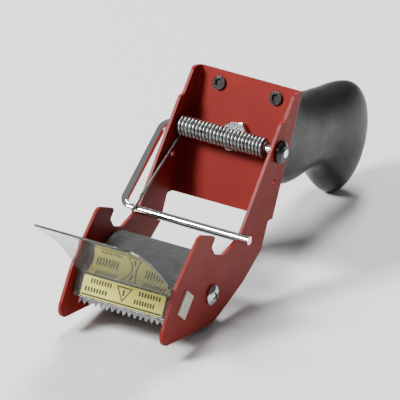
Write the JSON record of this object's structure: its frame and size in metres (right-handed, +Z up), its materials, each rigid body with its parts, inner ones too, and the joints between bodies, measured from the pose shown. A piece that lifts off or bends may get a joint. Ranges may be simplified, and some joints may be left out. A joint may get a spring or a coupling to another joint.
{
  "type": "hand-held packing tape dispenser",
  "caption": "Hand-held packing tape dispenser: folded sheet head with rubber roller, toothed blade, clear guard flap and sprung wire arm on a pistol grip.",
  "frame": {"origin": "middle of the footprint, on the surface the dispenser stands on", "axes": "+X to the right cheek, -Y towards the nose and blade, +Y along the grip, +Z up, standing on the roller and the grip's heel"},
  "size_m": [0.0698, 0.2536, 0.0896],
  "materials": {
    "red_paint": "satin enamel over folded steel",
    "grip_plastic": "satin moulded",
    "black_steel": "black oxide",
    "zinc_steel": "bright zinc plate",
    "core_plastic": "moulded",
    "knurled_rubber": "finely knurled",
    "nylon": "moulded nylon",
    "carrier_metal": "plain cast",
    "blade_steel": "bright",
    "clear_plastic": "clear, polished",
    "label_film": "printed film",
    "wire_chrome": "bright plated",
    "spring_steel": "drawn wire"
  },
  "bodies": {
    "root": {"frame_channel": "red_paint", "handle_shell_left": "grip_plastic", "handle_shell_right": "grip_plastic", "handle_shell_screws": "black_steel", "handle_bolt": "zinc_steel", "handle_bolt_washer": "zinc_steel", "clamp_nut": "zinc_steel", "handle_top_screws": "black_steel", "roller_axle": "zinc_steel", "roller_screws": "zinc_steel", "blade_carrier": "carrier_metal", "tear_blade": "blade_steel", "blade_rivets": "carrier_metal", "guard_clip": "clear_plastic", "caution_label": "label_film", "spring_sleeve": "core_plastic", "torsion_spring": "spring_steel"},
    "roller": {"roller_core": "core_plastic", "roller_sleeve": "knurled_rubber", "roller_bush_left": "nylon", "roller_bush_right": "nylon"},
    "guard_flap": {"guard_flap": "clear_plastic"},
    "swing_arm": {"swing_arm": "wire_chrome", "arm_push_nut": "black_steel", "arm_washer": "nylon"}
  },
  "joints": [
    {"name": "arm_swing", "type": "hinge", "parent": "root", "child": "swing_arm", "pos_m": [0, 0.00708, 0.06585], "axis": [-1, 0, 0], "range_deg": [0, 115], "stiffness_Nm_per_rad": 0.05, "springref_deg": -85.94, "deforming": ["torsion_spring"]},
    {"name": "roller_spin", "type": "hinge", "parent": "root", "child": "roller", "pos_m": [0, -0.05219, 0.0176], "axis": [1, 0, 0], "continuous": true},
    {"name": "flap_flex", "type": "hinge", "parent": "root", "child": "guard_flap", "pos_m": [0, -0.08247, 0.02901], "axis": [-1, 0, 0], "range_deg": [-12, 25], "stiffness_Nm_per_rad": 0.05}
  ]
}
